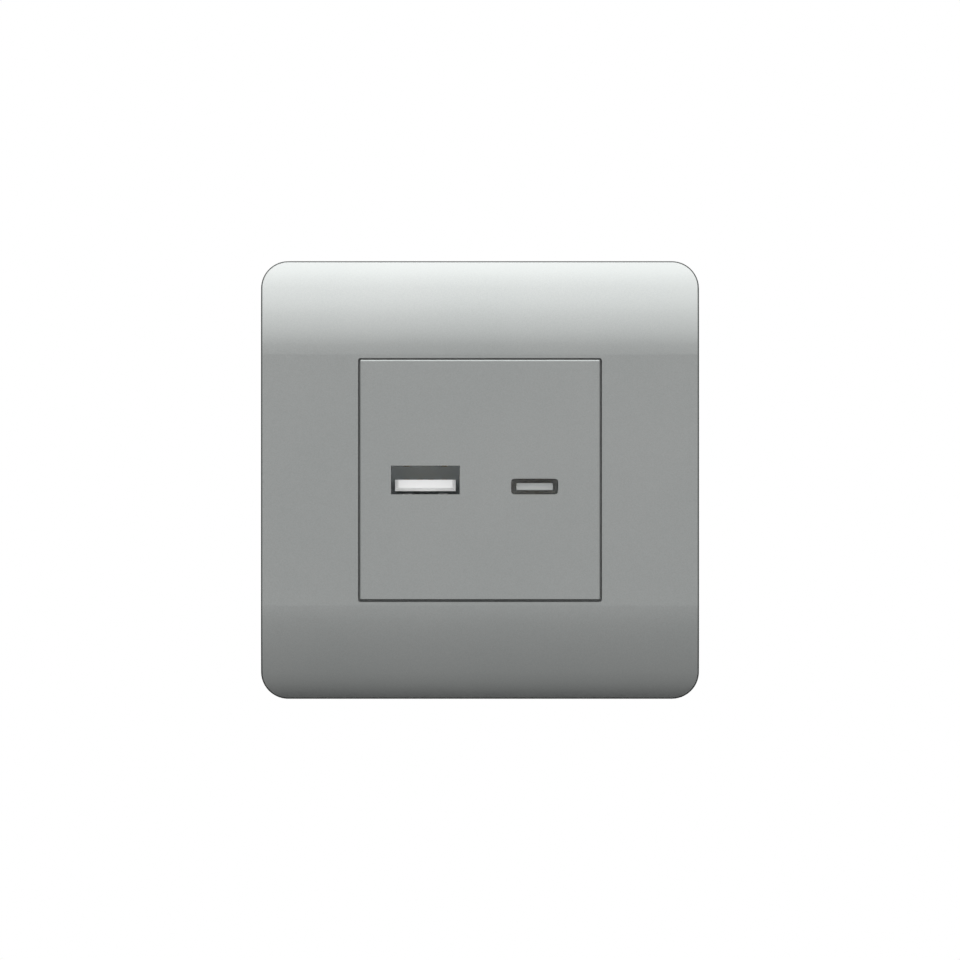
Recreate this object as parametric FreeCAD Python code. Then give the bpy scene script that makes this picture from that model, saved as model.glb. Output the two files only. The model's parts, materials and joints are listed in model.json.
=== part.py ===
import FreeCAD
import Part
import math
import os

# A flush wall socket that charges by USB: a square cover plate, bowed at its top and bottom, round a
# 45 mm charger module with one USB-A and one USB-C port, on a support frame that screws to a wall box.
# Frame: X to the right, Z up, Y into the wall. The origin is the centre of the plate on the wall's face,
# so what shows on the wall has negative Y and what goes into the box has positive Y. Sizes are in mm.

Vector = FreeCAD.Vector

PAST = 1.0  # how far a cut runs on past the face it opens
JOIN = 0.1  # how far pieces of one moulding run into each other before they are made one

# Cover plate
PLATE_SIDE = 81.0
PLATE_DEPTH = 9.6  # wall to the flat band of the front
PLATE_EDGE_DEPTH = 4.0  # wall to the front at the top and bottom edges
PLATE_FLAT = 46.4  # height of the flat band between the two bows
PLATE_CORNER = 5.0
PLATE_EDGE_BEVEL = 0.25
PLATE_WALL = 2.0
PLATE_RIB = 1.0
PLATE_RIB_HEIGHT = 1.6
PLATE_RIB_AT = 13.0
PLATE_COLLAR_WALL = 1.3
PLATE_COLLAR_CLEARANCE = 0.4  # collar to the ledge of the module behind it
PRY_NOTCH_WIDTH = 10.0
PRY_NOTCH_DEPTH = 1.0
WINDOW_SIDE = 45.1
WINDOW_CORNER = 0.5

# Pegs of the plate, which push into sockets of the support frame
PEG_WIDTH = 3.2
PEG_WEB = 1.2
PEG_TIP = 0.6
PEG_SHORT_OF_WALL = 0.6
PEG_CLEARANCE = 0.1

# Support frame
FRAME_INSIDE_PLATE = 2.0  # frame's edge to the inside of the plate's wall
FRAME_CORNER = 4.0
FRAME_FLOOR = 2.0
FRAME_RIM_HEIGHT = 3.0
FRAME_RIM_WALL = 1.2
FRAME_COLLAR_HEIGHT = 4.0
FRAME_COLLAR_WALL = 1.7
FRAME_RIB = 1.0
FRAME_RIB_AT = 8.5
FRAME_CLEARANCE = 0.4  # frame's window to the module's rear housing
LATCH_REBATE_DEPTH = 1.0
LATCH_REBATE_WIDTH = 1.6
SOCKET_WALL = 1.5
SOCKET_HEIGHT = 4.6
FIXING_SPACING = 60.0
FIXING_SLOT_WIDTH = 3.8
FIXING_SLOT_LENGTH = 7.0

# Front cover of the module
WINDOW_GAP = 0.35  # shadow line between the module and the plate
MODULE_PROUD = 0.3
MODULE_CORNER = 0.3
MODULE_EDGE_BEVEL = 0.2
COVER_FACE = 1.8
COVER_WALL = 1.6
LEDGE_REACH = 1.4
LEDGE_THICKNESS = 1.2
SPIGOT_LENGTH = 2.0
SPIGOT_WALL = 0.9
SPIGOT_CLEARANCE = 0.1
SPIGOT_ROOT = 0.5

# Ports. The openings in the front cover are as wide as the shells are inside, so they hide the rims.
USB_A_X = -10.1
USB_A_Z = 0.0
USB_A_WIDTH = 12.7
USB_A_HEIGHT = 5.3
USB_C_X = 10.1
USB_C_Z = -1.2
USB_C_WIDTH = 8.7
USB_C_HEIGHT = 2.9
USB_C_CORNER = 0.65
PORT_WALL = 1.0  # front cover's wall in front of a shell
PORT_CLEARANCE = 0.1  # shell to its pocket in the cover
SHELL_SHEET = 0.3
SHELL_LEG_WIDTH = 1.4
SHELL_LEG_PAST_BOARD = 0.6
SHELL_FINGER_WIDTH = 1.8
SHELL_FINGER_LENGTH = 4.4
SHELL_FINGER_BEND = 0.15
SHELL_FINGER_LIP = 1.0
SHELL_FINGER_SLOT = 0.35
SHELL_FINGER_AT = 3.3
SHELL_MOUTH = 1.6  # mouth to the slot round a finger
RECEPTACLE_LENGTH = 10.9
INSULATOR_CLEARANCE = 0.05

# Tongue and contacts of the USB-A port
A_BASE = 2.6
A_TONGUE_WIDTH = 11.2
A_TONGUE_HEIGHT = 2.1
A_TONGUE_TOP = 0.05  # above the port's middle
A_TONGUE_RECESS = 1.4  # tongue's nose behind the shell's mouth
A_NOSE = 0.7
A_NOSE_CHAMFER = 0.6
A_CHANNEL_DEPTH = 0.5
A_CONTACT_WIDTH = 1.0
A_CONTACT_SHEET = 0.2
A_CONTACT_CROWN = 0.35
A_CONTACT_RISE = 1.6
A_CONTACT_PLACES = (-3.5, -1.0, 1.0, 3.5)

# Tongue, middle plate and contacts of the USB-C port
C_BASE = 4.2
C_TONGUE_WIDTH = 6.7
C_TONGUE_SHEET = 1.1
C_STEP_HEIGHT = 1.5
C_STEP_LENGTH = 1.6
C_TONGUE_RECESS = 0.9
C_MID_SHEET = 0.16
C_MID_SHORT = 0.3
C_MID_PROUD = 0.05
C_CONTACT_COUNT = 12
C_CONTACT_PITCH = 0.5
C_CONTACT_WIDTH = 0.26
C_CONTACT_SHEET = 0.08
C_CONTACT_SETBACK = 0.5

# Circuit boards
BOARD_CLEARANCE = 0.3  # board's edge to the housing's wall
USB_BOARD = 1.2
POWER_BOARD = 1.6
BOARD_AIR = 0.8  # tallest part of the power board to the board in front of it
SOLDER_ROOM = 1.0
LEAD = 0.5
LEAD_HOLE = 0.9
HOLE_FIT = 0.3  # slot in a board to the leg in it, both sides together
LEAD_PAST_BOARD = 0.7
BOARD_PAD = 3.0
PAD_AT = 11.2

# Rear housing, and the posts at its corners: screws close it at two of them, across from each other
HOUSING_STEP = 0.2  # housing is this much smaller than the front cover on each side
HOUSING_WALL = 1.5
HOUSING_BACK = 1.4
HOUSING_CORNER = 1.0
HOUSING_CHAMFER = 5.0
VENT_COUNT = 6
VENT_PITCH = 3.4
VENT_WIDTH = 1.3
VENT_LENGTH = 6.5
VENT_SHORT_OF_BOARD = 1.0
LATCH_WIDTH = 12.0
LATCH_LENGTH = 9.0
LATCH_SLOT = 0.8
LATCH_REACH = 1.2
LATCH_RAMP = 3.4
LATCH_FLAT = 0.8
POST_AT = 17.2
COVER_POST_SIDE = 4.8
PILOT_FLOOR = 2.0  # pilot hole's blind end to the cover's face
POST_SIDE = 6.8
SCREW_SHOULDER = 5.8
POST_POCKET = 3.8  # side of the pocket in a post that has no screw
SCREW_RADIUS = 1.1
SCREW_FIT = 0.03
SCREW_PASS = 0.2
SCREW_HEAD_RADIUS = 1.9
SCREW_HEAD_AIR = 0.25

# Terminal block with two rising cages. A turn of a screw lifts its cage by the thread's pitch.
TERMINAL_PITCH = 7.6
TERMINAL_Z = -14.9  # middle of the cages
TERMINAL_WALL = 0.9
TERMINAL_FACE = 1.6
TERMINAL_BACK_WALL = 1.2
TERMINAL_FLOOR = 1.4
TERMINAL_WEB = 0.8  # wall that the screw's head bears on
TERMINAL_GROOVE = 1.0  # between the poles
TERMINAL_BEVEL = 0.8
TERMINAL_CLEARANCE = 0.15
WIRE_RADIUS = 1.7
CAGE_LENGTH = 4.4
CAGE_WALL = 0.9
CAGE_FLOOR = 1.0
CAGE_TOP = 1.4
CAGE_TRAVEL = 2.0
CONTACT_BAR = 0.8
CONTACT_WIDTH = 3.4
CONTACT_LEG_WIDTH = 1.4
CONTACT_AIR = 0.2
TERMINAL_SCREW_RADIUS = 1.5
TERMINAL_SCREW_RUNNING = 0.05
TERMINAL_HEAD_RADIUS = 2.5
TERMINAL_HEAD = 1.6
TERMINAL_HEAD_SINK = 0.9
TERMINAL_SLOT_WIDTH = 0.6
TERMINAL_SLOT_DEPTH = 0.9

# Transformer: two ferrite halves on a bobbin, its winding axis along Z
TRANSFORMER_AT = (0.0, 3.4)
CORE_WIDTH = 13.0
CORE_SHEET = 3.8
CORE_LIMB_SHARE = 0.154  # of the core's width
CORE_CENTRE_LIMB_SHARE = 0.277
CORE_HALF_LENGTH = 6.6
CORE_END = 2.0
BOBBIN_WALL = 0.5
BOBBIN_FLANGE = 0.6
BOBBIN_FIT = 0.05
WINDING_AIR = 0.2  # winding to the outer limbs
WINDING_ROUND = 1.0
BOBBIN_PIN_PITCH = 4.0

# Other parts of the power board: places are (x, z) of the middle of each part
INPUT_CAN_X = -13.0
INPUT_CAN_INNER_END = 1.2  # from the middle of the board along Z
INPUT_CAN_RADIUS = 4.0
INPUT_CAN_LENGTH = 9.6
INPUT_LEAD_PITCH = 3.5
OUTPUT_CAN_X = 13.2
OUTPUT_CAN_LOW = 1.4
OUTPUT_CAN_HIGH = 9.2
OUTPUT_CAN_RADIUS = 3.15
OUTPUT_CAN_HEIGHT = 8.0
OUTPUT_LEAD_PITCH = 2.5
FILM_BOX_AT = (0.0, -7.4)
FILM_BOX = (11.0, 4.4, 8.0)  # along X, along Z, height
FUSE_AT = (10.9, -16.4)
FUSE_BOX = (4.0, 7.2, 7.6)
BOX_CHAMFER = 0.4
PAIR_LEAD_PITCH = 5.0
VARISTOR_AT = (-10.9, -16.5)
VARISTOR_RADIUS = 3.4
VARISTOR_SHEET = 3.0
DISC_LIFT = 0.6  # disc's rim to the board
BRIDGING_AT = (10.4, 14.8)
BRIDGING_RADIUS = 3.2
BRIDGING_SHEET = 2.6
INDUCTOR_CAN_AT = (13.2, -6.6)
INDUCTOR_CAN_RADIUS = 3.8
INDUCTOR_CAN_HEIGHT = 7.8
RECTIFIER_AT = (0.0, -13.4)
RECTIFIER_BOX = (4.0, 4.8, 2.5)
OPTO_AT = (-9.8, 16.2)
OPTO_BOX = (4.4, 4.6, 2.1)
CHIP_BOX = (4.0, 5.0, 1.5)
MAINS_CHIP_AT = (-2.8, 13.4)
OUTPUT_CHIP_AT = (3.6, 13.4)
CHIP_LEG = 0.4
CHIP_LEG_REACH = 1.0
CHIP_LEG_PITCH = 1.27
CHIP_LEG_SHEET = 0.2
CHIP_LEGS = 4
PAIR_LEG_PITCH = 2.54

# Parts between and on the boards
HEADER_Z = 18.3
HEADER_COUNT = 6
HEADER_PITCH = 2.0
HEADER_STRIP = 2.0
HEADER_PIN = 0.5
SPACER_X = 18.3
SPACER_LOW = -3.2
SPACER_HIGH = 5.3
SPACER_SIDE = 2.4
PORT_CHIP_AT = (0.0, 9.0)
INDUCTOR_AT = (9.4, 10.0)
INDUCTOR_BOX = (6.6, 6.6, 3.0)
INDUCTOR_CORNER = 0.8

CORNERS = ((1, 1), (-1, 1), (-1, -1), (1, -1))
SCREW_CORNERS = CORNERS[::2]

# Depths worked out from the sizes above, from the front of the module to the back of its housing
module_side = WINDOW_SIDE - 2 * WINDOW_GAP
module_front = -PLATE_DEPTH - MODULE_PROUD
cover_inside = module_front + COVER_FACE
ledge_back = -FRAME_COLLAR_HEIGHT
ledge_front = ledge_back - LEDGE_THICKNESS
plate_collar_back = ledge_front - PLATE_COLLAR_CLEARANCE
shell_mouth = module_front + PORT_WALL
usb_board_front = shell_mouth + RECEPTACLE_LENGTH
usb_board_back = usb_board_front + USB_BOARD
core_limb = CORE_WIDTH * CORE_LIMB_SHARE
core_centre_limb = CORE_WIDTH * CORE_CENTRE_LIMB_SHARE
winding_build = CORE_WIDTH / 2 - core_limb - WINDING_AIR - core_centre_limb / 2 - BOBBIN_WALL
transformer_height = CORE_SHEET + 2 * (BOBBIN_WALL + winding_build)
tallest_part = max(
    transformer_height + 2 * BOBBIN_FIT,
    2 * INPUT_CAN_RADIUS + BOBBIN_FIT,
    OUTPUT_CAN_HEIGHT,
    FILM_BOX[2],
    FUSE_BOX[2],
    2 * VARISTOR_RADIUS + DISC_LIFT,
    2 * BRIDGING_RADIUS + DISC_LIFT,
    INDUCTOR_CAN_HEIGHT,
)
power_board_front = usb_board_back + BOARD_AIR + tallest_part
power_board_back = power_board_front + POWER_BOARD
housing_inside_back = power_board_back + SOLDER_ROOM
housing_back = housing_inside_back + HOUSING_BACK

# Widths of the plate's frame, of the housing and of the boards inside it
housing_side = module_side - 2 * HOUSING_STEP
housing_inside = housing_side - 2 * HOUSING_WALL
board_side = housing_inside - 2 * BOARD_CLEARANCE
frame_window = housing_side + 2 * FRAME_CLEARANCE
frame_collar_side = frame_window + 2 * FRAME_COLLAR_WALL
frame_side = PLATE_SIDE - 2 * (PLATE_WALL + FRAME_INSIDE_PLATE)
peg_at = (frame_collar_side + frame_side) / 4  # middle of the bay between the frame's collar and its rim
chamfer_front = usb_board_back + HOUSING_WALL

# Depths of the terminal block's inner parts, with the cages down and the terminals open
chamber_floor = power_board_back + TERMINAL_FLOOR
cage_bottom = chamber_floor + CONTACT_AIR
wire_low = cage_bottom + CAGE_FLOOR
wire_high = wire_low + 2 * WIRE_RADIUS
bar_back = wire_high + CONTACT_BAR
cage_window_top = bar_back + CONTACT_AIR
cage_top = cage_window_top + CAGE_TOP
chamber_top = cage_top + CAGE_TRAVEL + CONTACT_AIR
head_front = chamber_top + TERMINAL_WEB
head_back = head_front + TERMINAL_HEAD
terminal_back = head_back + TERMINAL_HEAD_SINK
cage_width = max(2 * TERMINAL_SCREW_RADIUS, CONTACT_WIDTH + 2 * CONTACT_AIR) + 2 * CAGE_WALL
chamber_width = cage_width + 2 * TERMINAL_CLEARANCE
chamber_low = TERMINAL_Z - CAGE_LENGTH / 2 - TERMINAL_CLEARANCE
chamber_high = TERMINAL_Z + CAGE_LENGTH / 2 + TERMINAL_CLEARANCE
leg_low = chamber_high + CONTACT_AIR
leg_high = leg_low + CONTACT_BAR
terminal_low = chamber_low - TERMINAL_FACE
terminal_high = leg_high + TERMINAL_BACK_WALL
terminal_width = TERMINAL_PITCH + chamber_width + 2 * TERMINAL_WALL

# Places of the parts that come in pairs
input_can_z = INPUT_CAN_INNER_END + INPUT_CAN_LENGTH / 2
input_can_at = ((INPUT_CAN_X, -input_can_z), (INPUT_CAN_X, input_can_z))
output_can_at = ((OUTPUT_CAN_X, OUTPUT_CAN_LOW), (OUTPUT_CAN_X, OUTPUT_CAN_HIGH))
spacer_at = ((-SPACER_X, SPACER_LOW), (SPACER_X, SPACER_HIGH))


def block(x, y, z):
    """Box between three (low, high) pairs."""
    return Part.makeBox(x[1] - x[0], y[1] - y[0], z[1] - z[0], Vector(x[0], y[0], z[0]))


def slab(width, height, y, x=0.0, z=0.0):
    """Box of a width along X and a height along Z about (x, z), between a (front, back) pair in Y."""
    return block((x - width / 2, x + width / 2), y, (z - height / 2, z + height / 2))


def rod(radius, y, x=0.0, z=0.0):
    """Cylinder along Y about (x, z)."""
    return Part.makeCylinder(radius, y[1] - y[0], Vector(x, y[0], z), Vector(0, 1, 0))


def prism(width, height, radius, y, x=0.0, z=0.0):
    """Rectangle with round corners, or a slot if the radius is half its height, drawn out along Y."""
    arcs = []
    for number, (side_x, side_z) in enumerate(CORNERS):
        centre = Vector(x + side_x * (width / 2 - radius), y[0], z + side_z * (height / 2 - radius))
        turns = [(number + step / 2) * math.pi / 2 for step in range(3)]
        arcs.append([centre + Vector(radius * math.cos(t), 0, radius * math.sin(t)) for t in turns])
    edges = []
    for number, points in enumerate(arcs):
        edges.append(Part.Arc(*points).toShape())
        follower = arcs[(number + 1) % 4][0]
        if points[2].distanceToPoint(follower) > 1e-6:
            edges.append(Part.makeLine(points[2], follower))
    return Part.Face(Part.Wire(edges)).extrude(Vector(0, y[1] - y[0], 0))


def extruded(points, direction):
    """Closed outline of points drawn out along a vector."""
    outline = Part.makePolygon([Vector(*p) for p in points + points[:1]])
    return Part.Face(outline).extrude(Vector(*direction))


def fused(shapes):
    """Several overlapping or touching shapes as one solid with no seams."""
    return shapes[0].multiFuse(shapes[1:]).removeSplitter()


def quarter_turns(shape):
    """Four copies of a shape, turned about the Y axis through the origin."""
    copies = []
    for number in range(4):
        copy = shape.copy()
        copy.rotate(Vector(0, 0, 0), Vector(0, 1, 0), 90 * number)
        copies.append(copy)
    return copies


def edges_at_depth(shape, depth):
    """Edges that lie in the plane of one Y."""
    return [e for e in shape.Edges if all(abs(v.Y - depth) < 1e-6 for v in e.Vertexes)]


def bowed_body(inset, back):
    """Form of the plate, taken in by an inset: a side profile drawn along X, inside a rounded square."""
    half = PLATE_SIDE / 2 - inset
    bow_run = (PLATE_SIDE - PLATE_FLAT) / 2
    bow_drop = PLATE_DEPTH - PLATE_EDGE_DEPTH
    bow_radius = (bow_run**2 + bow_drop**2) / (2 * bow_drop)
    centre_y = bow_radius - PLATE_DEPTH
    radius = bow_radius - inset
    turn = math.asin((half - PLATE_FLAT / 2) / radius)

    def on_bow(angle, side):
        z = side * (PLATE_FLAT / 2 + radius * math.sin(angle))
        return Vector(-half, centre_y - radius * math.cos(angle), z)

    low = [on_bow(a, -1) for a in (turn, turn / 2, 0)]
    high = [on_bow(a, 1) for a in (0, turn / 2, turn)]
    wall_high = Vector(-half, back, half)
    wall_low = Vector(-half, back, -half)
    edges = [
        Part.Arc(*low).toShape(),
        Part.makeLine(low[2], high[0]),
        Part.Arc(*high).toShape(),
        Part.makeLine(high[2], wall_high),
        Part.makeLine(wall_high, wall_low),
        Part.makeLine(wall_low, low[0]),
    ]
    bowed = Part.Face(Part.Wire(edges)).extrude(Vector(2 * half, 0, 0))
    return bowed.common(prism(2 * half, 2 * half, PLATE_CORNER - inset, (-PLATE_DEPTH - PAST, back + PAST)))


def front_rim(body):
    """Edges where the bowed front meets the side walls: all but those at the wall and those along Y."""
    rim = []
    for edge in body.Edges:
        ends = [v.Point for v in edge.Vertexes]
        outside = all(
            max(abs(p.x), abs(p.z)) > PLATE_SIDE / 2 - PLATE_CORNER - 1e-6 and p.y < -1e-6 for p in ends
        )
        middle = edge.valueAt((edge.FirstParameter + edge.LastParameter) / 2)
        across = max(abs(middle.x), abs(middle.z)) < PLATE_SIDE / 2 - PLATE_CORNER
        along_y = abs(ends[0].x - ends[-1].x) + abs(ends[0].z - ends[-1].z) < 1e-6
        if outside and not across and not along_y:
            rim.append(edge)
    return rim


def peg(x, z):
    """Cross-shaped peg with a tapered tip, moulded on the back of the plate."""
    tip = -PEG_SHORT_OF_WALL
    half = PEG_WIDTH / 2
    outline = [
        (x - half, -PLATE_DEPTH, z - PEG_WEB / 2),
        (x - half, tip - PEG_TIP, z - PEG_WEB / 2),
        (x - half + PEG_TIP, tip, z - PEG_WEB / 2),
        (x + half - PEG_TIP, tip, z - PEG_WEB / 2),
        (x + half, tip - PEG_TIP, z - PEG_WEB / 2),
        (x + half, -PLATE_DEPTH, z - PEG_WEB / 2),
    ]
    blade = extruded(outline, (0, 0, PEG_WEB))
    crossed = blade.copy()
    crossed.rotate(Vector(x, 0, z), Vector(0, 1, 0), 90)
    return blade.fuse(crossed)


def cover_plate():
    """Moulded plate: bowed skin, window with a collar, ribs, four pegs and a notch to lever it off."""
    outer = bowed_body(0, 0)
    outer = outer.makeChamfer(PLATE_EDGE_BEVEL, front_rim(outer))
    collar_side = WINDOW_SIDE + 2 * PLATE_COLLAR_WALL
    collar = slab(collar_side, collar_side, (-PLATE_DEPTH, plate_collar_back))
    rib_back = min(-PLATE_DEPTH + PLATE_WALL + PLATE_RIB_HEIGHT, plate_collar_back)
    rib_reach = (WINDOW_SIDE / 2, PLATE_SIDE / 2)
    kept = [collar]
    for place in (-PLATE_RIB_AT, PLATE_RIB_AT):
        rib = block(rib_reach, (-PLATE_DEPTH, rib_back), (place - PLATE_RIB / 2, place + PLATE_RIB / 2))
        kept += quarter_turns(rib)
    kept += [peg(peg_at * x, peg_at * z) for x, z in CORNERS]
    hollow = bowed_body(PLATE_WALL, PAST).cut(kept)
    window = prism(WINDOW_SIDE, WINDOW_SIDE, WINDOW_CORNER, (-PLATE_DEPTH - PAST, PAST))
    half_notch = PRY_NOTCH_WIDTH / 2
    notch_z = (-PLATE_SIDE / 2 - PAST, -PLATE_SIDE / 2 + PLATE_WALL + JOIN)
    notch = block((-half_notch, half_notch), (-PRY_NOTCH_DEPTH, PAST), notch_z)
    return outer.cut([hollow, window, notch])


def support_frame():
    """Moulded frame: ribbed floor on the wall, collar that carries the module, sockets for the pegs."""
    floor = prism(frame_side, frame_side, FRAME_CORNER, (-FRAME_FLOOR, 0))
    rim = prism(frame_side, frame_side, FRAME_CORNER, (-FRAME_RIM_HEIGHT, 0))
    inside_rim = frame_side - 2 * FRAME_RIM_WALL
    through = (-SOCKET_HEIGHT - PAST, PAST)
    rim = rim.cut(prism(inside_rim, inside_rim, FRAME_CORNER - FRAME_RIM_WALL, through))
    collar = slab(frame_collar_side, frame_collar_side, (-FRAME_COLLAR_HEIGHT, 0))
    solids = [floor, rim, collar]
    rib_reach = (frame_collar_side / 2 - JOIN, frame_side / 2 - JOIN)
    for place in (-FRAME_RIB_AT, FRAME_RIB_AT):
        rib = block(rib_reach, (-FRAME_RIM_HEIGHT, 0), (place - FRAME_RIB / 2, place + FRAME_RIB / 2))
        solids += quarter_turns(rib)
    hole_side = PEG_WIDTH + 2 * PEG_CLEARANCE
    socket_side = hole_side + 2 * SOCKET_WALL
    for x, z in CORNERS:
        solids.append(slab(socket_side, socket_side, (-SOCKET_HEIGHT, 0), peg_at * x, peg_at * z))
    frame = fused(solids)
    rebate_side = frame_window + 2 * LATCH_REBATE_WIDTH
    slot = prism(
        FIXING_SLOT_LENGTH,
        FIXING_SLOT_WIDTH,
        FIXING_SLOT_WIDTH / 2,
        through,
        FIXING_SPACING / 2,
    )
    cuts = quarter_turns(slot)
    cuts.append(slab(frame_window, frame_window, through))
    cuts.append(slab(rebate_side, rebate_side, (-LATCH_REBATE_DEPTH, PAST)))
    for x, z in CORNERS:
        cuts.append(slab(hole_side, hole_side, through, peg_at * x, peg_at * z))
    return frame.cut(cuts)


def port_a(grow, y):
    """Form of the USB-A port, grown on every side."""
    return slab(USB_A_WIDTH + 2 * grow, USB_A_HEIGHT + 2 * grow, y, USB_A_X, USB_A_Z)


def port_c(grow, y):
    """Form of the USB-C port, grown on every side."""
    width = USB_C_WIDTH + 2 * grow
    height = USB_C_HEIGHT + 2 * grow
    return prism(width, height, USB_C_CORNER + grow, y, USB_C_X, USB_C_Z)


def front_cover():
    """Face of the module with its skirt, the ledge that stops on the frame and a post in each corner."""
    face = prism(module_side, module_side, MODULE_CORNER, (module_front, ledge_back))
    face = face.makeChamfer(MODULE_EDGE_BEVEL, edges_at_depth(face, module_front))
    ledge_side = module_side + 2 * LEDGE_REACH
    ledge = slab(ledge_side, ledge_side, (ledge_front, ledge_back))
    spigot_side = housing_inside - 2 * SPIGOT_CLEARANCE
    spigot_inside = spigot_side - 2 * SPIGOT_WALL
    spigot = slab(spigot_side, spigot_side, (ledge_back - SPIGOT_ROOT, ledge_back + SPIGOT_LENGTH))
    hollow_side = module_side - 2 * COVER_WALL
    cover = fused([face, ledge, spigot]).cut(
        [
            slab(hollow_side, hollow_side, (cover_inside, ledge_back - SPIGOT_ROOT)),
            slab(spigot_inside, spigot_inside, (cover_inside, ledge_back + SPIGOT_LENGTH + PAST)),
        ]
    )
    post_y = (cover_inside - JOIN, usb_board_front)
    posts = [slab(COVER_POST_SIDE, COVER_POST_SIDE, post_y, POST_AT * x, POST_AT * z) for x, z in CORNERS]
    pilot = (module_front + PILOT_FLOOR, usb_board_front + PAST)
    pilots = [rod(SCREW_RADIUS + SCREW_FIT, pilot, POST_AT * x, POST_AT * z) for x, z in SCREW_CORNERS]
    opening = (module_front - PAST, cover_inside + PAST)
    pocket = (shell_mouth, cover_inside + PAST)
    pocket_grow = SHELL_SHEET + PORT_CLEARANCE
    ports = []
    for form in (port_a, port_c):
        ports += [form(0, opening), form(pocket_grow, pocket)]
    return fused([cover] + posts).cut(pilots + ports)


def chamfered_square(side, chamfer, y):
    """Square prism along Y with its four edges cut at 45 degrees."""
    half = side / 2
    near = half - chamfer
    outline = []
    for x, z in ((near, half), (-near, half), (-half, near), (-half, -near)):
        outline.append((x, y[0], z))
    outline += [(-x, y[0], -z) for x, _, z in outline]
    return extruded(outline, (0, y[1] - y[0], 0))


def latch_slots():
    """Slot round three sides of the latch tongue in the wall on the right."""
    x = (housing_inside / 2 - PAST, housing_side / 2 + PAST)
    free_end = -LATCH_REBATE_DEPTH - LATCH_SLOT
    half = LATCH_WIDTH / 2
    across = block(x, (free_end - LATCH_SLOT, free_end), (-half - LATCH_SLOT, half + LATCH_SLOT))
    y = (free_end - LATCH_SLOT, free_end + LATCH_LENGTH)
    return [across, block(x, y, (-half - LATCH_SLOT, -half)), block(x, y, (half, half + LATCH_SLOT))]


def latch_barb():
    """Barb of the latch on the right: a flat that hooks behind the frame and a long ramp behind it."""
    root = housing_side / 2
    z = -LATCH_WIDTH / 2
    outline = [
        (root - JOIN, -LATCH_REBATE_DEPTH, z),
        (root + LATCH_REACH, -LATCH_REBATE_DEPTH, z),
        (root + LATCH_REACH, -LATCH_REBATE_DEPTH + LATCH_FLAT, z),
        (root - JOIN, -LATCH_REBATE_DEPTH + LATCH_RAMP, z),
    ]
    return extruded(outline, (0, 0, LATCH_WIDTH))


def half_turned(shape):
    """Copy of a shape on the opposite side of the module."""
    copy = shape.copy()
    copy.rotate(Vector(0, 0, 0), Vector(0, 1, 0), 180)
    return copy


def rear_housing():
    """Box behind the module: snap latches, vents, corner posts and the opening for the terminals."""
    straight = prism(housing_side, housing_side, HOUSING_CORNER, (ledge_back, housing_back))
    past_side = housing_side + 2 * PAST
    chamfer_y = (chamfer_front, housing_back + PAST)
    narrowed = chamfered_square(past_side, HOUSING_CHAMFER + 2 * PAST, chamfer_y)
    corners = slab(past_side, past_side, chamfer_y).cut(narrowed)
    inner_chamfer = HOUSING_CHAMFER - HOUSING_WALL * (2 - math.sqrt(2))
    hollow = fused(
        [
            slab(housing_inside, housing_inside, (ledge_back - PAST, usb_board_back)),
            chamfered_square(housing_inside, inner_chamfer, (usb_board_back - PAST, housing_inside_back)),
        ]
    )
    shell = straight.cut([corners, hollow])
    added = [latch_barb(), half_turned(latch_barb())]
    holes = [corners]
    shoulder = usb_board_back + SCREW_SHOULDER
    for corner in CORNERS:
        x = POST_AT * corner[0]
        z = POST_AT * corner[1]
        added.append(slab(POST_SIDE, POST_SIDE, (usb_board_back, housing_back), x, z))
        if corner in SCREW_CORNERS:
            holes.append(rod(SCREW_RADIUS + SCREW_PASS, (usb_board_back - PAST, housing_back + PAST), x, z))
            holes.append(rod(SCREW_HEAD_RADIUS + SCREW_HEAD_AIR, (shoulder, housing_back + PAST), x, z))
        else:
            holes.append(slab(POST_POCKET, POST_POCKET, (shoulder, housing_back + PAST), x, z))
    pad_x = housing_inside / 2 - BOARD_PAD / 2
    for x, z in ((-pad_x, -PAD_AT), (-pad_x, PAD_AT), (pad_x, -PAD_AT), (pad_x, PAD_AT)):
        added.append(slab(BOARD_PAD, BOARD_PAD, (power_board_back, housing_inside_back + JOIN), x, z))
    vent_z = (housing_inside / 2 - PAST, housing_side / 2 + PAST)
    vent_back = power_board_front - VENT_SHORT_OF_BOARD
    vent_y = (vent_back - VENT_LENGTH, vent_back)
    for number in range(VENT_COUNT):
        x = (number - (VENT_COUNT - 1) / 2) * VENT_PITCH
        holes.append(block((x - VENT_WIDTH / 2, x + VENT_WIDTH / 2), vent_y, vent_z))
    terminal_z = (terminal_low - TERMINAL_CLEARANCE, terminal_high + TERMINAL_CLEARANCE)
    half = terminal_width / 2 + TERMINAL_CLEARANCE
    holes.append(block((-half, half), (housing_inside_back - PAST, housing_back + PAST), terminal_z))
    slots = latch_slots()
    holes += slots + [half_turned(s) for s in slots]
    return fused([shell] + added).cut(holes)


def shell_tube(form):
    """Steel sheet folded into a tube round a port, from its pocket in the front cover to the board."""
    outer = form(SHELL_SHEET, (shell_mouth, usb_board_front))
    return outer.cut(form(0, (shell_mouth - PAST, usb_board_front + PAST)))


def shell_legs(width, x, z):
    """Two legs that run on from the side walls of a shell through its board."""
    legs = []
    foot = (usb_board_front - JOIN, usb_board_back + SHELL_LEG_PAST_BOARD)
    for side in (-1, 1):
        leg_x = x + side * (width + SHELL_SHEET) / 2
        legs.append(slab(SHELL_SHEET, SHELL_LEG_WIDTH, foot, leg_x, z))
    return legs


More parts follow.
